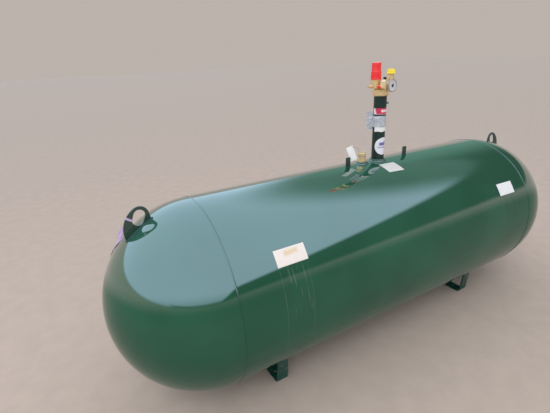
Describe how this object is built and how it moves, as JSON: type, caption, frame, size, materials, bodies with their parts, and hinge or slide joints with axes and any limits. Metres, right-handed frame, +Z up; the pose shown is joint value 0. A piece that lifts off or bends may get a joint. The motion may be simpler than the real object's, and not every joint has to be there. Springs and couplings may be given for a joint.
{
  "type": "horizontal pressure tank",
  "caption": "Horizontal steel gas storage tank with hemispherical heads, lifting lugs, bent bar cradles and a tall riser with a brass multi-purpose valve.",
  "frame": {"origin": "on the ground under the middle of the tank, halfway between the two cradles", "axes": "+X along the tank towards the right head, +Y towards the far side, +Z up; the valve gauge looks towards -Y"},
  "size_m": [3.0304, 0.9536, 1.5802],
  "materials": {
    "green_coat": "glossy dark green epoxy coat over steel",
    "bare_steel": "dull bare steel",
    "valve_brass": "machined and cast brass, lightly dulled",
    "red_plastic": "red moulded plastic, slightly faded",
    "yellow_plastic": "yellow moulded plastic",
    "black_plastic": "black moulded plastic",
    "gauge_metal": "pressed light grey metal",
    "dial_face": "light grey dial with a dark centre",
    "silver_tape": "silver cloth tape with a soft sheen",
    "paper": "white paper card",
    "red_film": "red and white printed film",
    "label_film": "white printed film with plain colour blocks",
    "lilac_film": "thin lilac flagging film"
  },
  "bodies": {
    "root": {"shell": "green_coat", "head_left": "green_coat", "head_right": "green_coat", "girth_weld_left": "green_coat", "girth_weld_right": "green_coat", "long_seam_weld": "green_coat", "lifting_lug_left": "green_coat", "lifting_lug_right": "green_coat", "lug_weld_left": "green_coat", "lug_weld_right": "green_coat", "cradle_left": "green_coat", "cradle_right": "green_coat", "riser_collar": "green_coat", "riser_weld": "green_coat", "riser_pipe": "green_coat", "riser_stud": "bare_steel", "valve_base": "valve_brass", "valve_body": "valve_brass", "relief_hex": "valve_brass", "relief_cap": "red_plastic", "fill_neck": "valve_brass", "fill_cap": "yellow_plastic", "gauge_case": "gauge_metal", "gauge_dial": "dial_face", "service_bonnet": "valve_brass", "outlet_plug": "red_plastic", "vent_knob": "black_plastic", "bleed_valve": "valve_brass", "riser_tape": "silver_tape", "tape_pouch": "silver_tape", "paper_slip": "paper", "riser_label": "red_film", "round_label": "label_film", "liquid_collar": "green_coat", "liquid_weld": "green_coat", "liquid_valve": "valve_brass", "liquid_cap": "valve_brass", "tag_card": "paper", "tag_tie": "bare_steel", "dome_clip_left": "green_coat", "dome_clip_right": "green_coat", "side_label_left": "label_film", "side_label_right": "label_film", "top_label": "label_film", "lug_ribbon": "lilac_film"}
  },
  "joints": []
}
